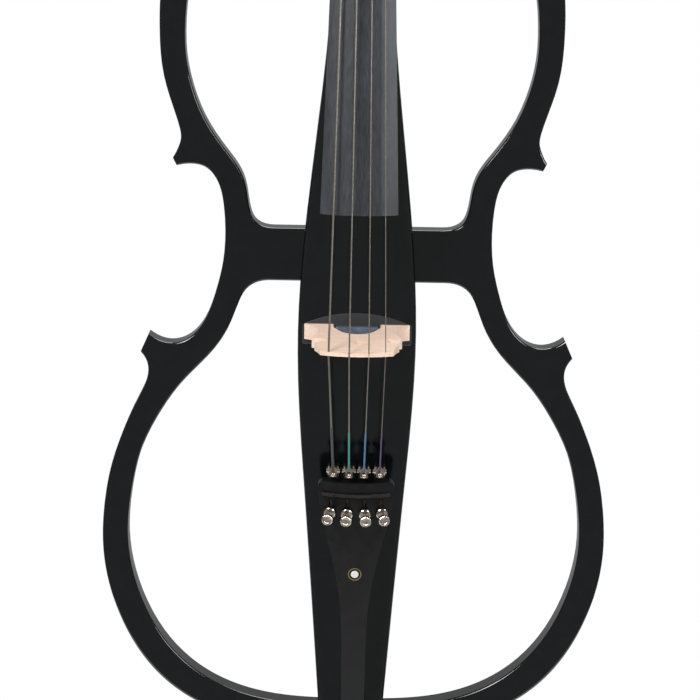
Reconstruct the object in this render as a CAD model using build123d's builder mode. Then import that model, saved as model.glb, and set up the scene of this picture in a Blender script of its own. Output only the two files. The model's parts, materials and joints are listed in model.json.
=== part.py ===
from build123d import *
from math import atan, cos, degrees, radians, sin, sqrt
import os

# Electric cello: a narrow solid spine with two open side wings that draw a cello's outline.
#
# Row frame, millimetres: X to the right seen from the front, Y from front to back, Z up.
# The origin is the tip of the stowed endpin, on the endpin's axis.

os.makedirs("parts", exist_ok=True)

# ---------------------------------------------------------------- driving dimensions
BRIDGE_Z = 405.0  # height of the bridge's tail-side face
BODY_BOTTOM = BRIDGE_Z - 352
BODY_TOP = BRIDGE_Z + 400  # body stop of a full-size cello
STRING_LENGTH = 695.0  # nut to bridge
NUT_Z = BRIDGE_Z + STRING_LENGTH
NUT_THICKNESS = 10.0
HEAD_Z = NUT_Z + NUT_THICKNESS

SPINE_HALF_THICKNESS = 25.0
SPINE_FRONT_FILLET = 6.0
SPINE_BACK_FILLET = 5.0
FRONT = -SPINE_HALF_THICKNESS  # Y of the spine's front face
BACK = SPINE_HALF_THICKNESS
WING_HALF_THICKNESS = 13.0
WING_FILLET = 2.0

FINGERBOARD_LENGTH = 580.0
FINGERBOARD_END_Z = NUT_Z - FINGERBOARD_LENGTH
FINGERBOARD_NUT_HALF_WIDTH = 16.0
FINGERBOARD_END_HALF_WIDTH = 32.5
FINGERBOARD_CAMBER = 62.0
FINGERBOARD_EDGE = 5.5
GLUE_HEIGHT_AT_NUT = 6.9  # glue plane above the spine's front plane
GLUE_SLOPE = 0.085

BRIDGE_HEIGHT = 90.0
BRIDGE_FOOT_THICKNESS = 13.0
BRIDGE_CROWN_THICKNESS = 2.6
BRIDGE_CROWN_RADIUS = 56.0
CROWN_CENTRE_Y = FRONT - BRIDGE_HEIGHT + BRIDGE_CROWN_RADIUS

STRINGS = ("c", "g", "d", "a")
STRING_RADIUS = (0.85, 0.68, 0.53, 0.40)
SILK_RADIUS = (1.05, 0.85, 0.70, 0.58)
BRIDGE_X = (-23.4, -6.3, 10.0, 23.9)
NUT_X = (-11.0, -3.7, 3.7, 11.0)
SILK_START = (66.0, 70.0, 70.0, 71.0)  # bare string between the bridge and the silk

ENDPIN_RADIUS = 4.0
ENDPIN_TRAVEL = 340.0


def export(part, name):
    """Label a finished part and write it as parts/NAME.step."""
    part.label = name
    export_step(part, f"parts/{name}.step")


def glue_y(z):
    """Y of the fingerboard's glue plane at height z."""
    return FRONT - GLUE_HEIGHT_AT_NUT - GLUE_SLOPE * (NUT_Z - z)


def fingerboard_half_width(z):
    share = (NUT_Z - z) / FINGERBOARD_LENGTH
    return FINGERBOARD_NUT_HALF_WIDTH + share * (FINGERBOARD_END_HALF_WIDTH - FINGERBOARD_NUT_HALF_WIDTH)


# ---------------------------------------------------------------- spine
def spine_outline():
    """The spine seen from the front, on its back plane."""
    z0 = BRIDGE_Z
    with BuildSketch(Plane.XZ.offset(-BACK)) as outline:
        with BuildLine():
            foot = Line((0, z0 - 352), (26.3, z0 - 352))
            side = Spline(
                foot @ 1, (41.8, z0 - 152), (48.6, z0 - 65), (50.8, z0 - 5), (46.2, z0 + 90),
                (35.4, z0 + 190.7),
                (26, z0 + 300), (24, z0 + 400), tangents=[(0.078, 1), (0, 1)], tangent_scalars=[1, 1])
            Line(side @ 1, (0, z0 + 400))
            mirror(about=Plane.YZ)
        make_face()
    return outline.sketch


DOWEL_RADIUS = 5.0
# each dowel's height from the bridge and its middle X
DOWEL_PLACES = ((60.0, 37.0), (80.0, 34.0), (388.5, 24.0), (-341.0, 27.0))
DOWEL_HALF_LENGTH = (24.0, 24.0, 9.0, 9.0)

BORE_RADIUS = 5.2  # the endpin rod's way up the spine
BORE_TOP = BRIDGE_Z + 60
COLLAR_PLUG_RADIUS = 12.0
COLLAR_PLUG_LENGTH = 32.0

LEAD_X = 15.0
LEAD_Z = BRIDGE_Z + 6.5
LEAD_RADIUS = 1.0

# control cavity, routed from the back: heights from the bridge
PLATE_HALF_WIDTH = 38.5
PLATE_LOW, PLATE_HIGH = -120.0, 34.0
PLATE_THICKNESS = 2.5
CAVITY_FLOOR = 9.0
BATTERY_X = (2.0, 32.0)
BATTERY_Z = (-28.0, 28.0)
BATTERY_FLOOR = 6.5
CONTROL_X = -20.0
VOLUME_Z, TONE_Z, SWITCH_Z = 12.0, -20.0, -46.0
JACK_X = 20.0
LINE_OUT_Z, HEADPHONE_Z, AUX_Z = -52.0, -78.0, -100.0
LINE_OUT_BODY_RADIUS = 7.5
LINE_OUT_FLOOR = -8.0
PLATE_SCREWS = [(sx * 35.2, z) for sx in (-1, 1) for z in (PLATE_LOW + 4, PLATE_HIGH - 4)]


def box_between(x0, x1, y0, y1, z0, z1, mode=Mode.ADD):
    """A box from its corner coordinates, for use inside a part block."""
    with Locations(((x0 + x1) / 2, (y0 + y1) / 2, (z0 + z1) / 2)):
        Box(x1 - x0, y1 - y0, z1 - z0, mode=mode)


def rod_between(start, end, radius, mode=Mode.ADD):
    """A round bar from start to end, for use inside a part block."""
    a, b = Vector(*start), Vector(*end)
    with Locations(Plane(origin=a, z_dir=b - a).location):
        Cylinder(radius, (b - a).length, align=(Align.CENTER, Align.CENTER, Align.MIN), mode=mode)


def dowels(mode=Mode.ADD):
    """All the dowels that hold the wings, on both sides."""
    for (z, x), half in zip(DOWEL_PLACES, DOWEL_HALF_LENGTH):
        for side in (-1, 1):
            rod_between((side * (x - half), 0, BRIDGE_Z + z), (side * (x + half), 0, BRIDGE_Z + z),
                        DOWEL_RADIUS, mode)


with BuildPart() as spine:
    extrude(spine_outline(), amount=2 * SPINE_HALF_THICKNESS)
    long_edges = spine.edges().filter_by(lambda e: abs((e @ 0).Z - (e @ 1).Z) > 20)
    fillet(long_edges.group_by(Axis.Y)[0], radius=SPINE_FRONT_FILLET)
    long_edges = spine.edges().filter_by(lambda e: abs((e @ 0).Z - (e @ 1).Z) > 20)
    fillet(long_edges.group_by(Axis.Y)[-1], radius=SPINE_BACK_FILLET)
    # endpin bore and the seat of its collar
    rod_between((0, 0, BODY_BOTTOM), (0, 0, BORE_TOP), BORE_RADIUS, Mode.SUBTRACT)
    rod_between((0, 0, BODY_BOTTOM), (0, 0, BODY_BOTTOM + COLLAR_PLUG_LENGTH), COLLAR_PLUG_RADIUS,
                Mode.SUBTRACT)
    # control cavity in three pockets
    box_between(-33, 2, CAVITY_FLOOR, BACK, BRIDGE_Z - 112, BRIDGE_Z + 27, Mode.SUBTRACT)
    box_between(2, 33, CAVITY_FLOOR, BACK, BRIDGE_Z - 112, BRIDGE_Z + BATTERY_Z[0] - 3, Mode.SUBTRACT)
    box_between(*BATTERY_X, BATTERY_FLOOR, BACK, BRIDGE_Z + BATTERY_Z[0], BRIDGE_Z + BATTERY_Z[1],
                Mode.SUBTRACT)
    # deep seat of the large jack, and the pickup lead's way to the cavity
    rod_between((JACK_X, BACK, BRIDGE_Z + LINE_OUT_Z), (JACK_X, LINE_OUT_FLOOR, BRIDGE_Z + LINE_OUT_Z),
                LINE_OUT_BODY_RADIUS + 0.5, Mode.SUBTRACT)
    rod_between((-LEAD_X, FRONT, LEAD_Z), (-LEAD_X, CAVITY_FLOOR, LEAD_Z), LEAD_RADIUS + 0.5,
                Mode.SUBTRACT)
    # pilot holes of the plate's screws
    for x, z in PLATE_SCREWS:
        rod_between((x, BACK, BRIDGE_Z + z), (x, BACK - 10, BRIDGE_Z + z), 1.5, Mode.SUBTRACT)
    dowels(Mode.SUBTRACT)
export(spine.part, "spine")


# ---------------------------------------------------------------- wings
def wing_outline():
    """The right wing seen from the front, on its back plane; its ends run into the spine and are cut off there."""
    z0 = BRIDGE_Z
    with BuildSketch(Plane.XZ.offset(-WING_HALF_THICKNESS)) as outline:
        with BuildLine():
            shoulder = Spline(
                (10, z0 + 399), (70, z0 + 396), (118, z0 + 381), (152, z0 + 349), (169, z0 + 305),
                (171.5, z0 + 262),
                (167.5, z0 + 221), (161.2, z0 + 199.5), (154.4, z0 + 179), (152.8, z0 + 168),
                (155.8, z0 + 158.6),
                (159.5, z0 + 151.7), tangents=[(1, 0), (0.75, -0.95)], tangent_scalars=[1, 1])
            upper_corner = Line(shoulder @ 1, (156, z0 + 145))
            waist = Spline(
                upper_corner @ 1, (143, z0 + 146.6), (131.5, z0 + 143.8), (121, z0 + 131.7),
                (115.8, z0 + 112),
                (114.2, z0 + 87), (116, z0 + 62), (122.4, z0 + 35), (134.1, z0 + 7), (146, z0 - 4.6),
                (159, z0 - 8.6),
                (170, z0 - 6.6), (179.3, z0 - 1.2), tangents=[(-1, 0.25), (0.8, 0.62)],
                tangent_scalars=[1, 1])
            lower_corner = Line(waist @ 1, (186.2, z0 - 16.8))
            hip = Spline(
                lower_corner @ 1, (181.2, z0 - 24), (179.5, z0 - 32), (181.5, z0 - 43), (189.3, z0 - 60),
                (202, z0 - 89), (212, z0 - 121), (217.5, z0 - 157), (218.4, z0 - 182), (214.8, z0 - 214),
                (204.5, z0 - 248), (184, z0 - 286), (150.8, z0 - 319), (105, z0 - 340.5), (55, z0 - 349.5),
                (10, z0 - 351),
                tangents=[(-0.8, -0.85), (-1, 0)], tangent_scalars=[1, 1])
            Line(hip @ 1, (10, z0 - 330))
            inner_low = Spline(
                (10, z0 - 330), (52, z0 - 328.5), (96, z0 - 320), (134.5, z0 - 301), (164, z0 - 272),
                (184.3, z0 - 235),
                (194.3, z0 - 200), (196.5, z0 - 178), (194, z0 - 142), (185.4, z0 - 104),
                (169.6, z0 - 70.8),
                (149.8, z0 - 42.4), (123.3, z0 - 13.9), (110.1, z0 + 7.2), (101.8, z0 + 28.3),
                (95.5, z0 + 39.5),
                (86, z0 + 45.6), (74, z0 + 47.3), tangents=[(1, 0), (-1, 0)], tangent_scalars=[1, 1])
            bar_low = Line(inner_low @ 1, (10, z0 + 47.3))
            bar_end = Line(bar_low @ 1, (10, z0 + 92.7))
            bar_high = Line(bar_end @ 1, (72, z0 + 92.7))
            Spline(
                bar_high @ 1, (82, z0 + 94.2), (89.3, z0 + 99.2), (92.6, z0 + 106), (94.3, z0 + 113),
                (96.2, z0 + 125.2),
                (100.5, z0 + 138.8), (114.5, z0 + 159), (132.5, z0 + 186), (143, z0 + 212),
                (149, z0 + 240),
                (149.8, z0 + 266), (146.5, z0 + 298), (132.5, z0 + 335), (105, z0 + 361), (68, z0 + 374.5),
                (10, z0 + 377.5), tangents=[(1, 0), (-1, 0)], tangent_scalars=[1, 1])
            Line((10, z0 + 377.5), (10, z0 + 399))
        make_face()
    return outline.sketch


with BuildPart() as plain_spine:
    extrude(spine_outline(), amount=2 * SPINE_HALF_THICKNESS)

with BuildPart() as wing_right:
    extrude(wing_outline(), amount=2 * WING_HALF_THICKNESS)
    rim = wing_right.edges().filter_by(lambda e: abs((e @ 0).Y - (e @ 1).Y) < 0.01 and e.length > 30)
    fillet(rim, radius=WING_FILLET)
    add(plain_spine.part, mode=Mode.SUBTRACT)
    dowels(Mode.SUBTRACT)
export(wing_right.part, "wing_right")

with BuildPart() as wing_left:
    mirror(wing_right.part, about=Plane.YZ)
export(wing_left.part, "wing_left")

with BuildPart() as wing_dowels:
    dowels()
export(wing_dowels.part, "wing_dowels")


# ---------------------------------------------------------------- neck, pegbox and scroll
PEGBOX_LEAN = 0.185  # the pegbox's front edge goes back by this much per mm of height
PEGBOX_FRONT_Y = -34.0  # front edge of the cheeks at HEAD_Z
SCROLL_Y, SCROLL_Z = 2.0, HEAD_Z + 161
SCROLL_TIERS = ((26.5, 14.0), (19.5, 19.5), (13.0, 24.5), (7.0, 28.5))  # radius, half width
CHEEK = 8.0
PEG_Z = (HEAD_Z + 20, HEAD_Z + 77, HEAD_Z + 105, HEAD_Z + 48)  # c, g, d, a
PEG_SIDE = (-1, -1, 1, 1)
PEG_RADIUS = 6.0
PEG_TAPER = 0.02  # loss of radius per mm of length
PEG_CLEARANCE = 0.04
HEEL_SECTIONS = (  # height, half width, depth behind the glue plane
    (BODY_TOP, 21.5, 80.0),
    (BODY_TOP + 12, 21.8, 65.0),
    (BODY_TOP + 24, 22.0, 47.0),
    (BODY_TOP + 38, 22.0, 33.5),
    (BODY_TOP + 56, 21.8, 26.0),
    (BODY_TOP + 80, 21.4, 23.6),
)
SHAFT_SECTIONS = (HEEL_SECTIONS[-1], (HEAD_Z + 3, 15.9, 20.5))


def cheek_front_y(z):
    return PEGBOX_FRONT_Y + PEGBOX_LEAN * (z - HEAD_Z)


def pegbox_half_width(z):
    return 23.0 - 0.056 * (z - HEAD_Z)


def peg_y(z):
    return cheek_front_y(z) + 15.0


def peg_root_x(z):
    """Where a peg's collar stands, just outside the cheek."""
    return pegbox_half_width(z) + 2.5


def peg_plane(i):
    """Plane at a peg's collar, looking into the pegbox."""
    z = PEG_Z[i]
    return Plane(origin=(PEG_SIDE[i] * peg_root_x(z), peg_y(z), z), x_dir=(0, 0, 1),
                 z_dir=(-PEG_SIDE[i], 0, 0))


def peg_length(i):
    return peg_root_x(PEG_Z[i]) + pegbox_half_width(PEG_Z[i]) + 2


with BuildPart() as neck:
    for sections in (HEEL_SECTIONS, SHAFT_SECTIONS):
        for z, half_width, depth in sections:
            with BuildSketch(Plane.XY.offset(z)):
                with BuildLine():
                    Line((half_width, glue_y(z)), (-half_width, glue_y(z)))
                    EllipticalCenterArc((0, glue_y(z)), half_width, depth, start_angle=0, arc_size=180)
                make_face()
        loft()
    # tongue that laps over the spine's front
    with BuildSketch(Plane.YZ.offset(-20)):
        with BuildLine():
            Polyline((glue_y(BODY_TOP - 34), BODY_TOP - 34), (glue_y(BODY_TOP + 1), BODY_TOP + 1),
                     (FRONT, BODY_TOP + 1),
                     (FRONT, BODY_TOP - 44), close=True)
        make_face()
    extrude(amount=40)

with BuildPart() as head:
    with BuildSketch(Plane.YZ.offset(-24)):
        with BuildLine():
            back = Spline(
                (-11.5, HEAD_Z - 17), (-3, HEAD_Z - 7), (9, HEAD_Z + 4), (14.5, HEAD_Z + 26),
                (22, HEAD_Z + 76),
                (29.5, HEAD_Z + 130), (SCROLL_Y + 26.4, SCROLL_Z), tangents=[(0.25, 1), (0, 1)],
                tangent_scalars=[1, 1])
            crest = ThreePointArc(back @ 1, (SCROLL_Y, SCROLL_Z + 26.4), (SCROLL_Y - 26.4, SCROLL_Z))
            throat = Spline(
                crest @ 1, (-21.5, SCROLL_Z - 14), (-12.5, SCROLL_Z - 24),
                (cheek_front_y(HEAD_Z + 118), HEAD_Z + 118),
                tangents=[(0, -1), (-0.3, -1)], tangent_scalars=[1, 1])
            front = Line(throat @ 1, (PEGBOX_FRONT_Y, HEAD_Z))
            Polyline(front @ 1, (glue_y(HEAD_Z), HEAD_Z), (glue_y(HEAD_Z - 17), HEAD_Z - 17), back @ 0)
        make_face()
    extrude(amount=48)
    with BuildSketch(Plane.XZ.offset(-50)):
        with BuildLine():
            chin = Line((15.6, HEAD_Z - 20), (16.4, HEAD_Z - 8))
            shoulder = Spline(
                chin @ 1, (20.5, HEAD_Z + 3.5), (pegbox_half_width(HEAD_Z + 14), HEAD_Z + 14),
                tangents=[(0.3, 1), (-0.03, 1)], tangent_scalars=[1, 1])
            taper = Line(shoulder @ 1, (pegbox_half_width(HEAD_Z + 134), HEAD_Z + 134))
            top = Spline(taper @ 1, (12.5, HEAD_Z + 195), tangents=[(-0.056, 1), (0, 1)],
                         tangent_scalars=[1, 1])
            Polyline(top @ 1, (0, HEAD_Z + 195), (0, HEAD_Z - 20), chin @ 0)
        make_face()
        mirror(about=Plane.YZ)
    extrude(amount=110, mode=Mode.INTERSECT)

with BuildPart() as pegbox_hollow:
    with BuildSketch(Plane.XZ.offset(-50)):
        with BuildLine():
            Polyline((0, HEAD_Z + 1), (pegbox_half_width(HEAD_Z + 1) - CHEEK, HEAD_Z + 1),
                     (pegbox_half_width(HEAD_Z + 128) - CHEEK, HEAD_Z + 128), (0, HEAD_Z + 128),
                     close=True)
        make_face()
        mirror(about=Plane.YZ)
    extrude(amount=110)
    with BuildSketch(Plane.YZ.offset(-24)):
        with BuildLine():
            Polyline((-60, HEAD_Z), (cheek_front_y(HEAD_Z + 5) + 23, HEAD_Z),
                     (cheek_front_y(HEAD_Z + 14) + 28, HEAD_Z + 14),
                     (cheek_front_y(HEAD_Z + 122) + 26, HEAD_Z + 122),
                     (cheek_front_y(HEAD_Z + 130), HEAD_Z + 130),
                     (-60, HEAD_Z + 130), close=True)
        make_face()
    extrude(amount=48, mode=Mode.INTERSECT)

with neck:
    add(head.part)
    for radius, half_width in SCROLL_TIERS:
        rod_between((-half_width, SCROLL_Y, SCROLL_Z), (half_width, SCROLL_Y, SCROLL_Z), radius)
    add(pegbox_hollow.part, mode=Mode.SUBTRACT)
    for i in range(4):
        with BuildSketch(peg_plane(i)):
            Circle(PEG_RADIUS + PEG_CLEARANCE)
        extrude(amount=peg_length(i) + 3, taper=degrees(atan(PEG_TAPER)), mode=Mode.SUBTRACT)
export(neck.part, "neck")

# ---------------------------------------------------------------- fingerboard and nut
with BuildPart() as fingerboard:
    for z in (FINGERBOARD_END_Z, NUT_Z):
        half_width = fingerboard_half_width(z)
        rise = FINGERBOARD_CAMBER - sqrt(FINGERBOARD_CAMBER ** 2 - half_width ** 2)
        edge_y = glue_y(z) - FINGERBOARD_EDGE
        with BuildSketch(Plane.XY.offset(z)):
            with BuildLine():
                Polyline((half_width, edge_y), (half_width, glue_y(z)), (-half_width, glue_y(z)),
                         (-half_width, edge_y))
                ThreePointArc((-half_width, edge_y), (0, edge_y - rise), (half_width, edge_y))
            make_face()
    loft(ruled=True)
    # hollow of the underside, where the fingerboard floats over the body
    with BuildSketch(Plane.YZ.offset(-9)):
        with BuildLine():
            Polyline((glue_y(FINGERBOARD_END_Z) - 3.5, FINGERBOARD_END_Z),
                     (glue_y(BODY_TOP - 60), BODY_TOP - 60),
                     (glue_y(FINGERBOARD_END_Z), FINGERBOARD_END_Z), close=True)
        make_face()
    extrude(amount=18, mode=Mode.SUBTRACT)
export(fingerboard.part, "fingerboard")

NUT_CREST_Y = FRONT - 15.6
with BuildPart() as nut:
    with BuildSketch(Plane.YZ.offset(-FINGERBOARD_NUT_HALF_WIDTH)):
        with BuildLine():
            Polyline((glue_y(NUT_Z), NUT_Z), (NUT_CREST_Y - 0.3, NUT_Z), (NUT_CREST_Y + 1.4, HEAD_Z),
                     (glue_y(HEAD_Z), HEAD_Z),
                     close=True)
        make_face()
    extrude(amount=2 * FINGERBOARD_NUT_HALF_WIDTH)
    crest_edges = nut.edges().filter_by(Axis.X).group_by(Axis.Y)[0]
    fillet(crest_edges, radius=1.6)


# ---------------------------------------------------------------- pegs with the string windings on them
COIL_X = (-8.2, -6.0, 5.2, 8.4)
COIL_TURNS = (5, 5, 6, 7)
PEG_TURN = (12.0, -28.0, 35.0, -8.0)  # how far each thumb piece is turned from upright
THUMB_REACH = 31.0  # from the collar to the middle of the thumb piece


def peg_radius_at(i, x):
    """Radius of peg i where it crosses x."""
    return PEG_RADIUS - PEG_TAPER * abs(PEG_SIDE[i] * peg_root_x(PEG_Z[i]) - x)


for i, name in enumerate(STRINGS):
    z = PEG_Z[i]
    root = Vector(peg_root_x(z), peg_y(z), z)
    with BuildPart() as right_peg:
        with BuildSketch(Plane(origin=root, x_dir=(0, 0, 1), z_dir=(-1, 0, 0))):
            Circle(PEG_RADIUS)
        extrude(amount=peg_length(i), taper=degrees(atan(PEG_TAPER)))
        # flat oval thumb piece
        turn = radians(PEG_TURN[i])
        thumb = Plane(origin=root + Vector(THUMB_REACH, 0, 0), x_dir=(1, 0, 0),
                      z_dir=(0, -cos(turn), sin(turn)))
        with BuildSketch(thumb.offset(-5.2)):
            Ellipse(13.5, 16.5)
        extrude(amount=10.4)
        fillet(right_peg.edges().filter_by(GeomType.ELLIPSE), radius=3.2)
        # collar and stem, turned about the peg's axis, and the button at the end
        with BuildSketch(Plane(origin=root, x_dir=(0, 0, 1), z_dir=(0, 1, 0))):
            with BuildLine():
                rim = Polyline((0, -2), (5.5, -2), (5.5, 0), (8.6, 0), (9.4, 1.2), (9.4, 3.4), (7.6, 5.2),
                               (7.6, 6.4))
                stem = Spline(rim @ 1, (5.2, 10.5), (4.6, 15), (4.4, 24), tangents=[(-0.5, 1), (0, 1)],
                              tangent_scalars=[1, 1])
                Polyline(stem @ 1, (0, 24), (0, -2))
            make_face()
        revolve(axis=Axis(root, (1, 0, 0)))
        with Locations(root + Vector(THUMB_REACH + 14.5, 0, 0)):
            Sphere(3.1)
    with BuildPart() as peg:
        if PEG_SIDE[i] > 0:
            add(right_peg.part)
        else:
            mirror(right_peg.part, about=Plane.YZ)
    export(peg.part, f"peg_{name}")

    wrap = STRING_RADIUS[i]
    core = peg_radius_at(i, COIL_X[i])
    width = 2 * wrap * COIL_TURNS[i]
    with BuildPart() as coil:
        with BuildSketch(Plane(origin=(COIL_X[i] - width / 2, peg_y(z), z), x_dir=(0, 0, 1),
                               z_dir=(1, 0, 0))):
            Circle(core + 2 * wrap)
            Circle(core + 0.12, mode=Mode.SUBTRACT)
        extrude(amount=width)
        chamfer(coil.edges().filter_by(GeomType.CIRCLE).group_by(SortBy.RADIUS)[-1], length=wrap * 0.6)
    export(coil.part, f"coil_{name}")


# ---------------------------------------------------------------- tailpiece
# middle of the tailpiece's lower end, on its top surface
TAIL_ORIGIN = Vector(1.6, FRONT - 24, BRIDGE_Z - 340)
TAIL_TILT = 10.0
TAIL_LENGTH = 230.5
TAIL_CAMBER = 80.0
TAIL_DEPTH = 13.0
UP = Vector(0, -sin(radians(TAIL_TILT)), cos(radians(TAIL_TILT)))  # along the tailpiece, toward the bridge
OUT = Vector(0, -cos(radians(TAIL_TILT)), -sin(radians(TAIL_TILT)))  # away from the body
TUNER_X = (-21.8, -7.5, 7.5, 21.8)
TUNER_SPLAY = (-7.0, -2.5, 2.5, 7.0)
FORK_X = (-19.7, -6.4, 6.2, 19.5)
SCREW_V = 203.5
FRET_V = 219.5
EYE_V = 147.2
PIN_V, PIN_W = 239.0, -8.0
STRING_W = (-1.0, 1.0, 1.0, -1.0)


def tail_point(x, v, w):
    """Point in the tailpiece's own frame: x across, v up along it, w out from its top surface."""
    return Vector(x, 0, 0) + TAIL_ORIGIN + UP * v + OUT * w


def tail_plane(w=0.0):
    """Plane over the tailpiece, x across, y along it, z outward."""
    return Plane(origin=tail_point(0, 0, w), x_dir=(1, 0, 0), z_dir=OUT)


def cross_plane(v):
    """Plane across the tailpiece at v: x across, y outward, z toward its lower end."""
    return Plane(origin=tail_point(0, v, 0), x_dir=(1, 0, 0), z_dir=UP * -1)


def side_plane(x):
    """Plane along the tailpiece at x: x up along it, y outward, z toward +X."""
    return Plane(origin=tail_point(x, 0, 0), x_dir=UP, z_dir=(1, 0, 0))


def camber_drop(x):
    return TAIL_CAMBER - sqrt(TAIL_CAMBER ** 2 - x ** 2)


def screw_plane(i, w=0.0):
    """Plane across tuner screw i, at w above the tailpiece's surface there."""
    splay = radians(TUNER_SPLAY[i])
    axis = OUT * cos(splay) + Vector(sin(splay), 0, 0)
    seat = tail_point(TUNER_X[i], SCREW_V, -camber_drop(TUNER_X[i]))
    return Plane(origin=seat + axis * w, x_dir=UP, z_dir=axis)


with BuildPart() as fret_band:
    with BuildSketch(cross_plane(FRET_V + 1.6)):
        with Locations((0, -TAIL_CAMBER)):
            Circle(TAIL_CAMBER + 1.4)
            Circle(TAIL_CAMBER - 2.0, mode=Mode.SUBTRACT)
        with Locations((0, 0)):
            Rectangle(58, 24, mode=Mode.INTERSECT)
    extrude(amount=3.2)

with BuildPart() as tailpiece:
    with BuildSketch(tail_plane(-TAIL_DEPTH)):
        with BuildLine():
            end = Line((0, 0), (9.5, 0))
            corner = Spline(end @ 1, (11.5, 3.5), (11, 12), tangents=[(1, 0.2), (-0.1, 1)],
                            tangent_scalars=[1, 1])
            flank = Spline(
                corner @ 1, (10.2, 50), (10.8, 95), (13.2, 126), (19.9, 161.5), (27.4, 192), (31.6, 216),
                (32.2, TAIL_LENGTH - 5), tangents=[(-0.1, 1), (0, 1)], tangent_scalars=[1, 1])
            shoulder = Spline(flank @ 1, (28, TAIL_LENGTH), tangents=[(0, 1), (-1, 0.05)],
                              tangent_scalars=[1, 1])
            Line(shoulder @ 1, (0, TAIL_LENGTH))
            mirror(about=Plane.YZ)
        make_face()
    extrude(amount=TAIL_DEPTH)
    with BuildSketch(cross_plane(TAIL_LENGTH + 2)):
        with Locations((0, -TAIL_CAMBER)):
            Circle(TAIL_CAMBER)
    extrude(amount=TAIL_LENGTH + 4, mode=Mode.INTERSECT)
    add(fret_band.part, mode=Mode.SUBTRACT)
    for i in range(4):
        with BuildSketch(screw_plane(i, 3)):
            Circle(3.2)
        extrude(amount=-30, mode=Mode.SUBTRACT)
        # string slot above the tuner's hole
        with BuildSketch(tail_plane(1)):
            with Locations((TUNER_X[i], SCREW_V + 6)):
                Rectangle(2.2, 12)
        extrude(amount=-30, mode=Mode.SUBTRACT)
    # seat of the eye inlay
    with BuildSketch(tail_plane(-1.3)):
        with Locations((0, EYE_V)):
            Circle(5.75)
            Circle(4.95, mode=Mode.SUBTRACT)
            Circle(3.25)
    extrude(amount=3, mode=Mode.SUBTRACT)
    # holes of the tailgut in the lower end
    with BuildSketch(cross_plane(0)):
        with Locations((-5, -7), (5, -7)):
            Circle(1.4)
    extrude(amount=-14, mode=Mode.SUBTRACT)
export(tailpiece.part, "tailpiece")

with BuildPart() as tailpiece_fret:
    add(fret_band.part)
export(tailpiece_fret.part, "tailpiece_fret")

with BuildPart() as eye_ring:
    with BuildSketch(tail_plane(-1.3)):
        with Locations((0, EYE_V)):
            Circle(5.75)
            Circle(4.95, mode=Mode.SUBTRACT)
    extrude(amount=1.45)
export(eye_ring.part, "eye_ring")

with BuildPart() as eye_pearl:
    with BuildSketch(tail_plane(-1.3)):
        with Locations((0, EYE_V)):
            Circle(3.25)
    extrude(amount=1.45)
export(eye_pearl.part, "eye_pearl")

# ---------------------------------------------------------------- fine tuners on the tailpiece
UNDERSIDE = -TAIL_DEPTH - 0.05
FRAME_THICKNESS = 1.6
FRAME_FOOT = UNDERSIDE - FRAME_THICKNESS
LEVER_TOP = FRAME_FOOT - 0.5
with BuildPart() as tuner_frames:
    for i in range(4):
        x = FORK_X[i]
        with BuildSketch(tail_plane(UNDERSIDE)):
            with BuildLine():
                Polyline((x - 4.5, 231), (x + 4.5, 231), (TUNER_X[i] + 4.5, 214), (TUNER_X[i] + 4.5, 197),
                         (TUNER_X[i] - 4.5, 197), (TUNER_X[i] - 4.5, 214), close=True)
            make_face()
        extrude(amount=-FRAME_THICKNESS)
        for side in (-1, 1):
            with BuildSketch(side_plane(x + side * 3.9).offset(-0.6)):
                with BuildLine():
                    Polyline((225, FRAME_FOOT), (243, FRAME_FOOT), (243, -8), (239.5, -4.6), (235, -6.5),
                             (232, UNDERSIDE),
                             (225, UNDERSIDE), close=True)
                make_face()
            extrude(amount=1.2)
        # threaded tube up through the tailpiece's hole
        with BuildSketch(screw_plane(i, 4.4)):
            Circle(3.1)
        extrude(amount=-22)
        with BuildSketch(tail_plane(FRAME_FOOT)):
            with Locations((TUNER_X[i], SCREW_V)):
                Rectangle(16, 16)
        extrude(amount=-12, mode=Mode.SUBTRACT)
        with BuildSketch(screw_plane(i, 6)):
            Circle(1.56)
        extrude(amount=-30, mode=Mode.SUBTRACT)
        rod_between(tail_point(x - 5.5, PIN_V, PIN_W), tail_point(x + 5.5, PIN_V, PIN_W), 1.2,
                    Mode.SUBTRACT)
export(tuner_frames.part, "tuner_frames")

with BuildPart() as tuner_nuts:
    for i in range(4):
        with BuildSketch(screw_plane(i, 0.7)):
            Circle(4.9)
            Circle(3.12, mode=Mode.SUBTRACT)
        extrude(amount=3.4)
export(tuner_nuts.part, "tuner_nuts")

with BuildPart() as tuner_pins:
    for x in FORK_X:
        rod_between(tail_point(x - 5.6, PIN_V, PIN_W), tail_point(x + 5.6, PIN_V, PIN_W), 1.2)
        for side in (-1, 1):
            rod_between(tail_point(x + side * 4.5, PIN_V, PIN_W), tail_point(x + side * 5.7, PIN_V, PIN_W),
                        2.0)
export(tuner_pins.part, "tuner_pins")

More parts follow.
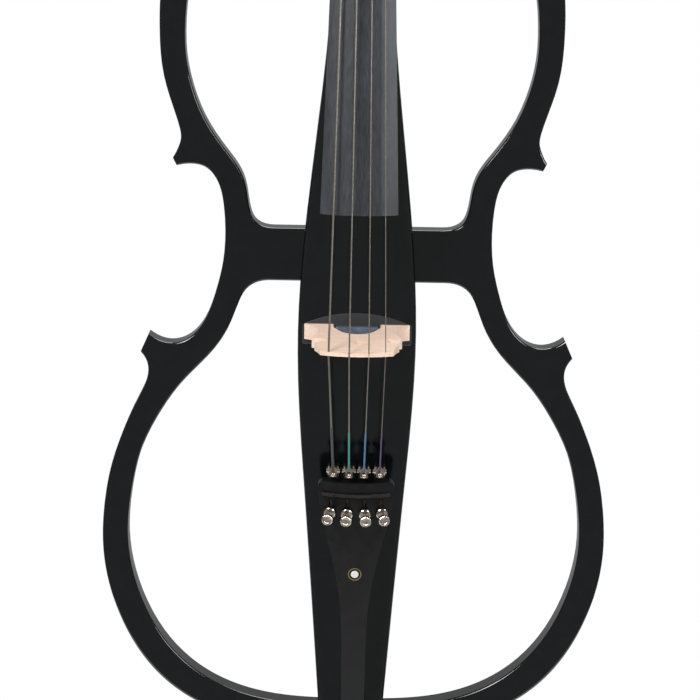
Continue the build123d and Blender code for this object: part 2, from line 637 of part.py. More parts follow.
for i, name in enumerate(STRINGS):
    x = FORK_X[i]
    w = STRING_W[i]
    with BuildPart() as lever:
        # hub and fork
        with BuildSketch(side_plane(x - 2.9)):
            with BuildLine():
                Polyline((233.4, -10.5), (235.4, -6.0), (235.4, w - 2.3), (241.0, w - 2.3),
                         (241.6, w + 3.2), (245.4, w + 2.4),
                         (244.6, -6.0), (242.2, -12.0), (240.5, LEVER_TOP - 1.8), (233, LEVER_TOP - 1.8),
                         (233, -12.0),
                         close=True)
            make_face()
        extrude(amount=5.8)
        # long arm under the tailpiece
        with BuildSketch(tail_plane(LEVER_TOP)):
            with BuildLine():
                Polyline((x - 2.9, 238), (x + 2.9, 238), (TUNER_X[i] + 3.2, 214), (TUNER_X[i] + 3.2, 199),
                         (TUNER_X[i] - 3.2, 199), (TUNER_X[i] - 3.2, 214), close=True)
            make_face()
        extrude(amount=-1.8)
        # slot of the string and bore of the pin
        with BuildSketch(tail_plane(w + 6)):
            with Locations((x, 246)):
                Rectangle(3.0, 12)
        extrude(amount=-8.2, mode=Mode.SUBTRACT)
        rod_between(tail_point(x - 5, PIN_V, PIN_W), tail_point(x + 5, PIN_V, PIN_W), 1.25, Mode.SUBTRACT)
        # ball end of the string, held behind the fork
        with Locations(tail_point(x, 238.4, w)):
            Sphere(2.35)
    export(lever.part, f"tuner_lever_{name}")

    with BuildPart() as screw:
        with BuildSketch(screw_plane(i, 19.0)):
            Circle(4.75)
        extrude(amount=-4.2)
        fillet(screw.edges().filter_by(GeomType.CIRCLE), radius=0.7)
        with BuildSketch(screw_plane(i, 15.5)):
            Circle(1.5)
        extrude(amount=-15.5 + camber_drop(TUNER_X[i]) + FRAME_FOOT)
    export(screw.part, f"tuner_screw_{name}")

# ---------------------------------------------------------------- bridge and pickup
PAD_THICKNESS = 3.0
with BuildPart() as pickup_base:
    with BuildSketch(Plane.XZ.offset(-FRONT)):
        with BuildLine():
            low = Line((-47, BRIDGE_Z - 5), (47, BRIDGE_Z - 5))
            right = Line(low @ 1, (47, BRIDGE_Z + 12))
            arc = ThreePointArc(right @ 1, (0, BRIDGE_Z + 22.5), (-47, BRIDGE_Z + 12))
            Line(arc @ 1, low @ 0)
        make_face()
        fillet(vertices(), radius=3)
    extrude(amount=PAD_THICKNESS)
    chamfer(pickup_base.faces().sort_by(Axis.Y)[0].edges(), length=0.6)
    rod_between((-LEAD_X, FRONT + 1, LEAD_Z), (-LEAD_X, FRONT - 6, LEAD_Z), LEAD_RADIUS + 0.1,
                Mode.SUBTRACT)
export(pickup_base.part, "pickup_base")

with BuildPart() as pickup_bar:
    box_between(-18.5, 18.5, FRONT - PAD_THICKNESS - 6.5, FRONT - PAD_THICKNESS, BRIDGE_Z + 0.5,
                BRIDGE_Z + 11.5)
    fillet(pickup_bar.edges().filter_by(Axis.X).group_by(Axis.Y)[0], radius=2)
    fillet(pickup_bar.edges().filter_by(Axis.Y), radius=1.2)
export(pickup_bar.part, "pickup_bar")

with BuildPart() as pickup_lead:
    rod_between((-LEAD_X, FRONT - PAD_THICKNESS, LEAD_Z), (-LEAD_X, CAVITY_FLOOR + 2.5, LEAD_Z),
                LEAD_RADIUS)
export(pickup_lead.part, "pickup_lead")

FOOT_Y = FRONT - PAD_THICKNESS
BRIDGE_TALL = BRIDGE_HEIGHT - PAD_THICKNESS
with BuildPart() as bridge:
    face_plane = Plane(origin=(0, FOOT_Y, BRIDGE_Z), x_dir=(1, 0, 0), z_dir=(0, 0, -1))
    with BuildSketch(face_plane):
        with BuildLine():
            arch = Spline((0, 33), (10, 29.5), (16.5, 20), (20.5, 9), (20, 0),
                          tangents=[(1, 0), (-0.3, -1)],
                          tangent_scalars=[1, 1])
            sole = Polyline(arch @ 1, (45, 0), (45, 2.5))
            leg = Spline(sole @ 1, (38.5, 7.5), (33.8, 15), (31.8, 26), (34.5, 37), (38.0, 44.5),
                         tangents=[(-1, 0.25), (0.2, 1)], tangent_scalars=[1, 1])
            notch = Spline(leg @ 1, (33, 47.5), (27, 46), (25.5, 51.5), (29, 56.5), (35.5, 58),
                           tangents=[(-0.6, 1), (0.8, 0.5)], tangent_scalars=[1, 1])
            wing = Spline(notch @ 1, (33.2, 66), (31.4, 74), (30.6, 79.8), tangents=[(-0.1, 1), (0, 1)],
                          tangent_scalars=[1, 1])
            crown_half = RadiusArc(wing @ 1, (0, BRIDGE_TALL), -BRIDGE_CROWN_RADIUS)
            Line(crown_half @ 1, arch @ 0)
        make_face()
        mirror(about=Plane.YZ)
        # heart cut-out
        with Locations((-3.4, 59), (3.4, 59)):
            Circle(3.8, mode=Mode.SUBTRACT)
        with BuildLine():
            Polyline((-6.7, 57.6), (0, 50.5), (6.7, 57.6), close=True)
        make_face(mode=Mode.SUBTRACT)
    extrude(amount=-BRIDGE_FOOT_THICKNESS)
    # the fingerboard side slopes from the feet up to the thin crown
    with BuildSketch(Plane.YZ.offset(-50)):
        with BuildLine():
            slope = Polyline((FOOT_Y - 4, BRIDGE_Z + BRIDGE_FOOT_THICKNESS), (FOOT_Y - 40, BRIDGE_Z + 9.4),
                             (FOOT_Y - 68, BRIDGE_Z + 5.6),
                             (FOOT_Y - BRIDGE_TALL, BRIDGE_Z + BRIDGE_CROWN_THICKNESS))
            Polyline(slope @ 1, (FOOT_Y - BRIDGE_TALL - 6, BRIDGE_Z + BRIDGE_CROWN_THICKNESS),
                     (FOOT_Y - BRIDGE_TALL - 6, BRIDGE_Z + 20), (FOOT_Y - 4, BRIDGE_Z + 20), slope @ 0)
        make_face()
    extrude(amount=100, mode=Mode.SUBTRACT)

# ---------------------------------------------------------------- strings
for i, name in enumerate(STRINGS):
    radius = STRING_RADIUS[i]
    crown_y = CROWN_CENTRE_Y - sqrt(BRIDGE_CROWN_RADIUS ** 2 - BRIDGE_X[i] ** 2) - radius * 0.4
    crown = Vector(BRIDGE_X[i], crown_y, BRIDGE_Z + BRIDGE_CROWN_THICKNESS / 2)
    nut_rest = Vector(NUT_X[i], NUT_CREST_Y + NUT_X[i] ** 2 / (2 * FINGERBOARD_CAMBER) - radius * 0.4,
                      NUT_Z + 2)
    fork = tail_point(FORK_X[i], 242.0, STRING_W[i])
    coil_radius = peg_radius_at(i, COIL_X[i]) + 2 * radius
    peg_end = Vector(COIL_X[i], peg_y(PEG_Z[i]) - coil_radius - radius - 0.4, PEG_Z[i] + 1)
    with BuildPart() as string:
        with BuildLine():
            path = FilletPolyline(fork, crown, nut_rest, peg_end, radius=[8, 6])
        with BuildSketch(Plane(origin=path @ 0, z_dir=path % 0)):
            Circle(radius)
        sweep()
    export(string.part, f"string_{name}")
    # each string lies in its own groove of the bridge and the nut
    for support in (bridge, nut):
        with support:
            add(string.part, mode=Mode.SUBTRACT)
    away = (fork - crown).normalized()
    with BuildPart() as silk:
        start = crown + away * SILK_START[i]
        with BuildSketch(Plane(origin=start, z_dir=away)):
            Circle(SILK_RADIUS[i])
            Circle(radius, mode=Mode.SUBTRACT)
        extrude(amount=(fork - crown).length - SILK_START[i] - 0.2)
    export(silk.part, f"silk_{name}")

export(bridge.part, "bridge")
export(nut.part, "nut")

# ---------------------------------------------------------------- saddle, tailgut and endpin
GUT_RADIUS = 1.25
with BuildPart() as saddle:
    box_between(-18, 18, FRONT - 12, FRONT, BODY_BOTTOM, BODY_BOTTOM + 8.5)
    fillet(saddle.edges().filter_by(Axis.X).group_by(Axis.Y)[0].sort_by(Axis.Z)[0], radius=6)
    fillet(saddle.edges().filter_by(Axis.Z).group_by(Axis.Y)[0], radius=4)
export(saddle.part, "saddle")

GROOVE_Z = BODY_BOTTOM - 10
with BuildPart() as tailgut:
    with BuildLine():
        gut_path = FilletPolyline(
            tail_point(-5, -0.1, -7), (-7, -40, BODY_BOTTOM + 0.5), (-15.1, 0, GROOVE_Z),
            (-15.1, 17, GROOVE_Z),
            (15.1, 17, GROOVE_Z), (15.1, 0, GROOVE_Z), (7, -40, BODY_BOTTOM + 0.5),
            tail_point(5, -0.1, -7),
            radius=[4, 8, 14.6, 14.6, 8, 4])
    with BuildSketch(Plane(origin=gut_path @ 0, z_dir=gut_path % 0)):
        Circle(GUT_RADIUS)
    sweep()
export(tailgut.part, "tailgut")


def turned(rings, bore=0.0):
    """A turned piece about the endpin's axis from (low, high, radius) rings, with an optional bore."""
    with BuildPart() as piece:
        for low, high, radius in rings:
            rod_between((0, 0, low), (0, 0, high), radius)
        if bore:
            rod_between((0, 0, -5), (0, 0, BODY_TOP), bore, Mode.SUBTRACT)
    return piece


SOCKET_RADIUS = 8.0
collar_rings = (
    (BODY_BOTTOM, BODY_BOTTOM + COLLAR_PLUG_LENGTH - 0.5, COLLAR_PLUG_RADIUS),
    (BODY_BOTTOM - 5, BODY_BOTTOM, 17.5),
    (BODY_BOTTOM - 14, BODY_BOTTOM - 5, 13.3), (BODY_BOTTOM - 18, BODY_BOTTOM - 14, 16.0))
endpin_collar = turned(collar_rings, SOCKET_RADIUS)
export(endpin_collar.part, "endpin_collar")

CLAMP_Z = BODY_BOTTOM - 26
endpin_socket = turned(
    ((BODY_BOTTOM - 33, BODY_BOTTOM - 18, 11.0), (BODY_BOTTOM - 18, BODY_BOTTOM + 30, SOCKET_RADIUS)),
    ENDPIN_RADIUS + 0.05)
with endpin_socket:
    rod_between((ENDPIN_RADIUS, 0, CLAMP_Z), (14, 0, CLAMP_Z), 2.55, Mode.SUBTRACT)
export(endpin_socket.part, "endpin_socket")

with BuildPart() as endpin_screw:
    rod_between((ENDPIN_RADIUS + 0.35, 0, CLAMP_Z), (17, 0, CLAMP_Z), 2.5)
    rod_between((12, 0, CLAMP_Z), (15, 0, CLAMP_Z), 4.5)
    box_between(15, 30, -2, 2, CLAMP_Z - 7, CLAMP_Z + 7)
    fillet(endpin_screw.edges().filter_by(Axis.Y).group_by(Axis.X)[-1], radius=6)
export(endpin_screw.part, "endpin_screw")

with BuildPart() as endpin_rod:
    rod_between((0, 0, 8), (0, 0, BORE_TOP - 8), ENDPIN_RADIUS)
export(endpin_rod.part, "endpin_rod")

with BuildPart() as endpin_tip:
    with BuildSketch(Plane.XZ):
        with BuildLine():
            Polyline((0, 0), (5.5, 0), (7, 2.5), (6.4, 14), (4.6, 18), (0, 18), close=True)
        make_face()
    revolve(axis=Axis.Z)
    rod_between((0, 0, 8), (0, 0, 20), ENDPIN_RADIUS + 0.02, Mode.SUBTRACT)
export(endpin_tip.part, "endpin_tip")

# ---------------------------------------------------------------- controls and sockets on the back
PLATE_FACE = BACK + PLATE_THICKNESS
DOOR_HINGE_X, DOOR_HINGE_Y = BATTERY_X[1] - 1.4, BACK + 1.6
DOOR_HALF_HEIGHT = 26.0
KNOB_BORE = 3.05
with BuildPart() as control_plate:
    box_between(-PLATE_HALF_WIDTH, PLATE_HALF_WIDTH, BACK, PLATE_FACE, BRIDGE_Z + PLATE_LOW,
                BRIDGE_Z + PLATE_HIGH)
    fillet(control_plate.edges().filter_by(Axis.Y), radius=5)
    chamfer(control_plate.faces().sort_by(Axis.Y)[-1].edges(), length=0.6)
    # battery hole, open for the door
    box_between(BATTERY_X[0] + 0.5, BATTERY_X[1], BACK - 1, PLATE_FACE + 1,
                BRIDGE_Z - DOOR_HALF_HEIGHT - 0.5,
                BRIDGE_Z + DOOR_HALF_HEIGHT + 0.5, Mode.SUBTRACT)
    for z in (VOLUME_Z, TONE_Z):
        rod_between((CONTROL_X, BACK - 1, BRIDGE_Z + z), (CONTROL_X, PLATE_FACE + 1, BRIDGE_Z + z),
                    KNOB_BORE, Mode.SUBTRACT)
    box_between(CONTROL_X - 1.9, CONTROL_X + 1.9, BACK - 1, PLATE_FACE + 1, BRIDGE_Z + SWITCH_Z - 4.4,
                BRIDGE_Z + SWITCH_Z + 4.4, Mode.SUBTRACT)
    for z, radius in ((LINE_OUT_Z, LINE_OUT_BODY_RADIUS), (HEADPHONE_Z, 4.0), (AUX_Z, 4.0)):
        rod_between((JACK_X, BACK - 1, BRIDGE_Z + z), (JACK_X, PLATE_FACE + 1, BRIDGE_Z + z), radius + 0.1,
                    Mode.SUBTRACT)
    for x, z in PLATE_SCREWS:
        rod_between((x, BACK - 1, BRIDGE_Z + z), (x, PLATE_FACE + 1, BRIDGE_Z + z), 1.5, Mode.SUBTRACT)
    # hinge sockets of the battery door
    rod_between((DOOR_HINGE_X, DOOR_HINGE_Y, BRIDGE_Z - DOOR_HALF_HEIGHT - 3),
                (DOOR_HINGE_X, DOOR_HINGE_Y, BRIDGE_Z + DOOR_HALF_HEIGHT + 3), 0.8, Mode.SUBTRACT)
export(control_plate.part, "control_plate")

with BuildPart() as plate_screws:
    for x, z in PLATE_SCREWS:
        rod_between((x, BACK - 8, BRIDGE_Z + z), (x, PLATE_FACE, BRIDGE_Z + z), 1.48)
        rod_between((x, PLATE_FACE, BRIDGE_Z + z), (x, PLATE_FACE + 1.2, BRIDGE_Z + z), 2.9)
        box_between(x - 2, x + 2, PLATE_FACE + 0.6, PLATE_FACE + 2, BRIDGE_Z + z - 0.35,
                    BRIDGE_Z + z + 0.35, Mode.SUBTRACT)
        box_between(x - 0.35, x + 0.35, PLATE_FACE + 0.6, PLATE_FACE + 2, BRIDGE_Z + z - 2,
                    BRIDGE_Z + z + 2, Mode.SUBTRACT)
export(plate_screws.part, "plate_screws")

BOARD_Y = CAVITY_FLOOR + 2.6
with BuildPart() as preamp_board:
    box_between(-31, 0, BOARD_Y, BOARD_Y + 1.6, BRIDGE_Z - 62, BRIDGE_Z + 24)
    for x, z in ((-28, -58), (-3, -58), (-28, 20), (-3, 20)):
        rod_between((x, CAVITY_FLOOR, BRIDGE_Z + z), (x, BOARD_Y, BRIDGE_Z + z), 2.2)
    for z in (VOLUME_Z, TONE_Z):
        box_between(CONTROL_X - 8, CONTROL_X + 8, BOARD_Y + 1.6, BACK - 3.4, BRIDGE_Z + z - 8,
                    BRIDGE_Z + z + 8)
    box_between(CONTROL_X - 5, CONTROL_X + 5, BOARD_Y + 1.6, BACK - 5, BRIDGE_Z + SWITCH_Z - 9,
                BRIDGE_Z + SWITCH_Z + 9)
    with Locations((-6, BOARD_Y + 1.6 + 4, BRIDGE_Z + 4), (-6, BOARD_Y + 1.6 + 4, BRIDGE_Z - 12)):
        Cylinder(3.2, 8, rotation=(90, 0, 0))
    box_between(-10, -3, BOARD_Y + 1.6, BOARD_Y + 3.4, BRIDGE_Z - 44, BRIDGE_Z - 34)
export(preamp_board.part, "preamp_board")

for z, name in ((VOLUME_Z, "volume"), (TONE_Z, "tone")):
    with BuildPart() as knob:
        rod_between((CONTROL_X, BACK - 3, BRIDGE_Z + z), (CONTROL_X, PLATE_FACE + 4, BRIDGE_Z + z), 3.0)
        rod_between((CONTROL_X, PLATE_FACE + 0.5, BRIDGE_Z + z),
                    (CONTROL_X, PLATE_FACE + 11, BRIDGE_Z + z), 7.5)
        fillet(knob.edges().filter_by(GeomType.CIRCLE).group_by(Axis.Y)[-1], radius=1.2)
        box_between(CONTROL_X - 0.5, CONTROL_X + 0.5, PLATE_FACE + 10.3, PLATE_FACE + 12, BRIDGE_Z + z + 1,
                    BRIDGE_Z + z + 8,
                    Mode.SUBTRACT)
    export(knob.part, f"{name}_knob")

with BuildPart() as power_switch:
    box_between(CONTROL_X - 1.5, CONTROL_X + 1.5, BACK - 4.6, PLATE_FACE + 3, BRIDGE_Z + SWITCH_Z - 4.0,
                BRIDGE_Z + SWITCH_Z + 0.0)
    fillet(power_switch.edges().filter_by(Axis.X).group_by(Axis.Y)[-1], radius=0.8)
export(power_switch.part, "power_switch")

with BuildPart() as battery_box:
    box_between(*BATTERY_X, BATTERY_FLOOR, BACK - 0.3, BRIDGE_Z + BATTERY_Z[0], BRIDGE_Z + BATTERY_Z[1])
    box_between(BATTERY_X[0] + 1, BATTERY_X[1] - 1, BATTERY_FLOOR + 0.7, BACK + 1,
                BRIDGE_Z + BATTERY_Z[0] + 1,
                BRIDGE_Z + BATTERY_Z[1] - 1, Mode.SUBTRACT)
export(battery_box.part, "battery_box")

with BuildPart() as battery:
    box_between(BATTERY_X[0] + 1.8, BATTERY_X[1] - 1.8, BATTERY_FLOOR + 0.7, BATTERY_FLOOR + 17.7,
                BRIDGE_Z - 25,
                BRIDGE_Z + 21)
    fillet(battery.edges().filter_by(Axis.Z), radius=1.5)
    for x in (BATTERY_X[0] + 9, BATTERY_X[1] - 9):
        rod_between((x, BATTERY_FLOOR + 9, BRIDGE_Z + 21), (x, BATTERY_FLOOR + 9, BRIDGE_Z + 24), 2.8)
export(battery.part, "battery")

with BuildPart() as battery_door:
    box_between(BATTERY_X[0] + 1, DOOR_HINGE_X + 0.5, BACK + 0.2, PLATE_FACE, BRIDGE_Z - DOOR_HALF_HEIGHT,
                BRIDGE_Z + DOOR_HALF_HEIGHT)
    rod_between((DOOR_HINGE_X, DOOR_HINGE_Y, BRIDGE_Z - DOOR_HALF_HEIGHT - 2),
                (DOOR_HINGE_X, DOOR_HINGE_Y, BRIDGE_Z + DOOR_HALF_HEIGHT + 2), 0.75)
    # finger nick at the free edge
    with Locations((BATTERY_X[0] + 1, PLATE_FACE + 0.6, BRIDGE_Z)):
        Cylinder(5, 2.6, rotation=(90, 0, 0), mode=Mode.SUBTRACT)
export(battery_door.part, "battery_door")


def socket(z, radius, bore, floor, flange):
    """Hollow jack socket that opens at the back, with a round nut on the plate."""
    with BuildPart() as piece:
        rod_between((JACK_X, floor, BRIDGE_Z + z), (JACK_X, PLATE_FACE, BRIDGE_Z + z), radius)
        rod_between((JACK_X, PLATE_FACE, BRIDGE_Z + z), (JACK_X, PLATE_FACE + 2, BRIDGE_Z + z), flange)
        rod_between((JACK_X, floor + 2, BRIDGE_Z + z), (JACK_X, PLATE_FACE + 3, BRIDGE_Z + z), bore,
                    Mode.SUBTRACT)
    return piece.part


export(socket(LINE_OUT_Z, LINE_OUT_BODY_RADIUS, 3.25, LINE_OUT_FLOOR + 0.2, 9.5), "line_out_jack")

with BuildPart() as mini_jacks:
    add(socket(HEADPHONE_Z, 4.0, 1.8, 13.0, 5.5))
    add(socket(AUX_Z, 4.0, 1.8, 13.0, 5.5))
export(mini_jacks.part, "mini_jacks")
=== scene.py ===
# %% [markdown]
# # An electric cello in black lacquer
# The instrument arrives as a frame of solid parts in metres, with +Z up the neck and the strings on the
# -Y side. Blender adds finishes and the fine work that a machinist or a luthier would do last: wound
# strings on the pegs, knurled thumbscrews and nuts, fluted knobs. Loading the frame first means that every
# later piece can take its place from it.

# %% Load the frame
import json
from math import atan2, cos, pi, radians, sin

import bpy
from mathutils import Matrix, Vector


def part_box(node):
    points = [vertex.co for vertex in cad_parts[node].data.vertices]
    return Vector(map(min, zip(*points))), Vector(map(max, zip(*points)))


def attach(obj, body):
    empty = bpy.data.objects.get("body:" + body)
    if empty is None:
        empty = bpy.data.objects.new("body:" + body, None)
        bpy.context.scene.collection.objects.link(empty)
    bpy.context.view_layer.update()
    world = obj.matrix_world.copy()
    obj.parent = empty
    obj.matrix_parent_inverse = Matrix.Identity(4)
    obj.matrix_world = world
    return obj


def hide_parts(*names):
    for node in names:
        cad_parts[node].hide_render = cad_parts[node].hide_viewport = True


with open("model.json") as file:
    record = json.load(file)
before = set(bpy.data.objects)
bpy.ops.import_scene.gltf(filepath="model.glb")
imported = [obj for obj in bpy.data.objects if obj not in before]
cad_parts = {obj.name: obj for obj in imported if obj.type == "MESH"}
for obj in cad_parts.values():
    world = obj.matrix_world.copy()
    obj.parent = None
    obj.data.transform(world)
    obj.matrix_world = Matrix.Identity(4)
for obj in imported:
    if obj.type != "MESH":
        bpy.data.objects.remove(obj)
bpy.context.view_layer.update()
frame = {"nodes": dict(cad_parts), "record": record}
nodes = frame["nodes"]
joints = {joint["name"]: joint for joint in frame["record"]["behaviour"]["joints"]}
STRINGS = ("c", "g", "d", "a")
MM = 0.001

# %% [markdown]
# The camera stands two and a half metres off, ten degrees above the bridge, with a long lens. A long lens
# keeps the wings nearly free of perspective. The camera is turned by one degree about its own axis, because
# a hung instrument is seldom quite upright.

# %% Camera
CAMERA_DISTANCE = 2.5
CAMERA_LIFT = radians(10)
CAMERA_ROLL = radians(1.0)
bridge_foot_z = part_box("bridge")[0][2]
aim = Vector((-5.7 * MM, -25 * MM, bridge_foot_z - 9.9 * MM))
toward_camera = Vector((0, -cos(CAMERA_LIFT), sin(CAMERA_LIFT)))
bpy.ops.object.camera_add(location=aim + CAMERA_DISTANCE * toward_camera)
camera = bpy.context.object
camera.rotation_mode = "QUATERNION"
view_turn = Matrix.Rotation(radians(90) - CAMERA_LIFT, 4, "X") @ Matrix.Rotation(CAMERA_ROLL, 4, "Z")
camera.rotation_quaternion = view_turn.to_quaternion()
camera.data.lens = 150
camera.data.sensor_width = 36
bpy.context.scene.camera = camera
print("camera at", [round(c, 3) for c in camera.location])

# %% [markdown]
# Black lacquer shows nothing but what it mirrors, so the room matters more than the paint. The sky that
# lights the instrument is dim, while the sky behind it is plain white. The instrument hangs by its head,
# and the round pale floor lies as far down as the endpin reaches. The floor ends under a metre in front,
# so the upright faces mirror dimness and stay black. Large soft lamps draw the light lines along the
# rounded edges. The standard view transform keeps white at full white.

# %% Floor, sky and lamps
FLOOR_Z = -0.3405  # half a millimetre below the tip of the fully drawn endpin
FLOOR_RADIUS = 1.05
FLOOR_MIDDLE_Y = 0.2
bpy.ops.mesh.primitive_circle_add(vertices=96, radius=FLOOR_RADIUS, fill_type="NGON",
                                  location=(0, FLOOR_MIDDLE_Y, FLOOR_Z))
floor = bpy.context.object
floor.name = "floor"
bpy.ops.object.transform_apply(location=True, rotation=False, scale=True)

world = bpy.data.worlds.new("studio")
bpy.context.scene.world = world
world.use_nodes = True
sky = world.node_tree
dim = sky.nodes["Background"]
dim.inputs["Color"].default_value = (1, 1, 1, 1)
dim.inputs["Strength"].default_value = 0.3
plain = sky.nodes.new("ShaderNodeBackground")
plain.inputs["Color"].default_value = (1, 1, 1, 1)
plain.inputs["Strength"].default_value = 1.0
seen = sky.nodes.new("ShaderNodeLightPath")
choose = sky.nodes.new("ShaderNodeMixShader")
sky.links.new(seen.outputs["Is Camera Ray"], choose.inputs["Fac"])
sky.links.new(dim.outputs["Background"], choose.inputs[1])
sky.links.new(plain.outputs["Background"], choose.inputs[2])
sky.links.new(choose.outputs["Shader"], sky.nodes["World Output"].inputs["Surface"])
bpy.context.scene.view_settings.view_transform = "Standard"


def soft_lamp(name, place, target, size, power):
    """A square lamp that looks at a point."""
    bpy.ops.object.light_add(type="AREA", location=place)
    lamp = bpy.context.object
    lamp.name = name
    lamp.data.size = size
    lamp.data.energy = power
    lamp.rotation_mode = "QUATERNION"
    lamp.rotation_quaternion = (Vector(target) - Vector(place)).to_track_quat("-Z", "Y")


soft_lamp("key", (-1.5, -2.0, 2.3), (0, 0, 0.45), 1.2, 115)
soft_lamp("fill", (2.1, -1.7, 1.6), (0, 0, 0.45), 1.2, 55)
soft_lamp("back", (0.3, 1.6, 2.6), (0, 0, 0.6), 1.5, 45)

# %% [markdown]
# A few small helpers keep the materials short. One turns a hex colour into the linear values that shaders
# use, and one adds a node with its settings and joins its inputs. The others start a material, make noise
# of a real size in millimetres, and turn that noise into colour, roughness or relief.

# %% Material helpers


def linear(code):
    """The linear colour of an sRGB hex code."""
    parts = [int(code[i:i + 2], 16) / 255 for i in (1, 3, 5)]
    return tuple(p / 12.92 if p <= 0.04045 else ((p + 0.055) / 1.055) ** 2.4 for p in parts) + (1.0,)


def add(tree, kind, inputs=None, **settings):
    """A node with its settings, its values and its links."""
    node = tree.nodes.new(kind)
    for key, value in settings.items():
        setattr(node, key, value)
    for key, value in (inputs or {}).items():
        if isinstance(value, bpy.types.NodeSocket):
            tree.links.new(value, node.inputs[key])
        else:
            node.inputs[key].default_value = value
    return node


def finish_of(name, base, roughness, **values):
    """A new material, its node tree, its shader and its object coordinates."""
    material = bpy.data.materials.new(name)
    material.use_nodes = True
    tree = material.node_tree
    shader = tree.nodes["Principled BSDF"]
    shader.inputs["Base Color"].default_value = linear(base)
    shader.inputs["Roughness"].default_value = roughness
    for key, value in values.items():
        shader.inputs[key.replace("_", " ")].default_value = value
    place = add(tree, "ShaderNodeTexCoord").outputs["Object"]
    return material, tree, shader, place


def stretched(tree, place, scale):
    """Coordinates scaled per axis: a pattern runs long on an axis whose scale is below one."""
    return add(tree, "ShaderNodeMapping", {"Vector": place, "Scale": scale}).outputs["Vector"]


def grain(tree, vector, size_mm, detail=4.0, rough=0.6):
    """Noise whose blobs are about size_mm across."""
    values = {"Vector": vector, "Scale": 1 / (size_mm * MM), "Detail": detail, "Roughness": rough}
    return add(tree, "ShaderNodeTexNoise", values).outputs["Fac"]


def ramp(tree, factor, stops):
    """A colour ramp from (position, hex) pairs."""
    node = add(tree, "ShaderNodeValToRGB", {"Fac": factor})
    while len(node.color_ramp.elements) < len(stops):
        node.color_ramp.elements.new(0.5)
    for element, (position, code) in zip(node.color_ramp.elements, stops):
        element.position = position
        element.color = linear(code)
    return node.outputs["Color"]


def spread(tree, factor, low, high):
    """The factor's middle range stretched between two values."""
    values = {"Value": factor, "From Min": 0.3, "From Max": 0.7, "To Min": low, "To Max": high}
    return add(tree, "ShaderNodeMapRange", values).outputs["Result"]


def bump(tree, shader, height, depth_mm, strength=1.0):
    """Relief of a real depth on the shader's normal."""
    normal = add(tree, "ShaderNodeBump", {"Height": height, "Strength": strength, "Distance": depth_mm * MM})
    tree.links.new(normal.outputs["Normal"], shader.inputs["Normal"])


def join(tree, output, shader, name):
    """Link a pattern to one of the shader's sockets."""
    tree.links.new(output, shader.inputs[name])


# %% [markdown]
# The body is maple under black polyester lacquer, sprayed and buffed. Buffed lacquer is very smooth but
# never flat: a faint long ripple bends the reflections, and fine haze from handling dulls some of them.

# %% Black polyester lacquer
lacquer, tree, shader, place = finish_of("polyester_lacquer_black_buffed", "#040506", 0.08)
ripple = grain(tree, place, 38, 1.0)
haze = grain(tree, place, 14, 5.0)
join(tree, spread(tree, haze, 0.05, 0.13), shader, "Roughness")
join(tree, ramp(tree, haze, ((0.3, "#030405"), (0.7, "#070A0B"))), shader, "Base Color")
bump(tree, shader, ripple, 0.1, 0.25)
print("made", lacquer.name)

# %% [markdown]
# The fingerboard is ebony, planed and oiled but not lacquered. Its pores run along the grain as short
# dark streaks, and bow rosin and fingers leave it greyer in the middle, so roughness changes with the grain.

# %% Oiled ebony of the fingerboard
board_ebony, tree, shader, place = finish_of("ebony_fingerboard_oiled", "#24262B", 0.4)
along = stretched(tree, place, (1, 1, 0.03))
streak = grain(tree, along, 0.9, 5.0)
cloud = grain(tree, stretched(tree, place, (1, 1, 0.15)), 16, 3.0)
mixed = add(tree, "ShaderNodeMath", {0: streak, 1: cloud}, operation="MULTIPLY").outputs["Value"]
shades = ((0.12, "#1A1B1F"), (0.26, "#26282D"), (0.42, "#34363D"))
join(tree, ramp(tree, mixed, shades), shader, "Base Color")
join(tree, spread(tree, streak, 0.32, 0.5), shader, "Roughness")
bump(tree, shader, streak, 0.05, 0.5)
print("made", board_ebony.name)

# %% [markdown]
# Pegs, nut, saddle and the endpin's collar are ebony too, but turned and polished, so they are darker
# and shine more. The same grain is finer here.

# %% Polished ebony
ebony, tree, shader, place = finish_of("ebony_turned_polished", "#110F0E", 0.22)
streak = grain(tree, stretched(tree, place, (0.06, 1, 1)), 0.7, 4.0)
join(tree, ramp(tree, streak, ((0.35, "#0C0A09"), (0.65, "#1D1916"))), shader, "Base Color")
join(tree, spread(tree, streak, 0.17, 0.3), shader, "Roughness")
bump(tree, shader, streak, 0.03, 0.3)
print("made", ebony.name)

# %% [markdown]
# The tailpiece is moulded composite with a satin face. Moulding leaves a very fine orange-peel texture,
# which is why its highlights are broad and soft.

# %% Satin composite
composite, tree, shader, place = finish_of("fibre_composite_moulded_satin", "#0B0B0D", 0.36)
shader.inputs["Specular IOR Level"].default_value = 0.15
peel = grain(tree, place, 0.8, 3.0)
wear = grain(tree, place, 9, 4.0)
join(tree, ramp(tree, wear, ((0.3, "#09090A"), (0.7, "#111113"))), shader, "Base Color")
join(tree, spread(tree, wear, 0.3, 0.42), shader, "Roughness")
bump(tree, shader, peel, 0.03, 0.35)
print("made", composite.name)

# %% [markdown]
# A bridge is bare maple, quarter-sawn. Its face shows short reddish-brown ray flecks that lie across
# fine lines of grain, and the wood is left without varnish, so it is matt and pale.

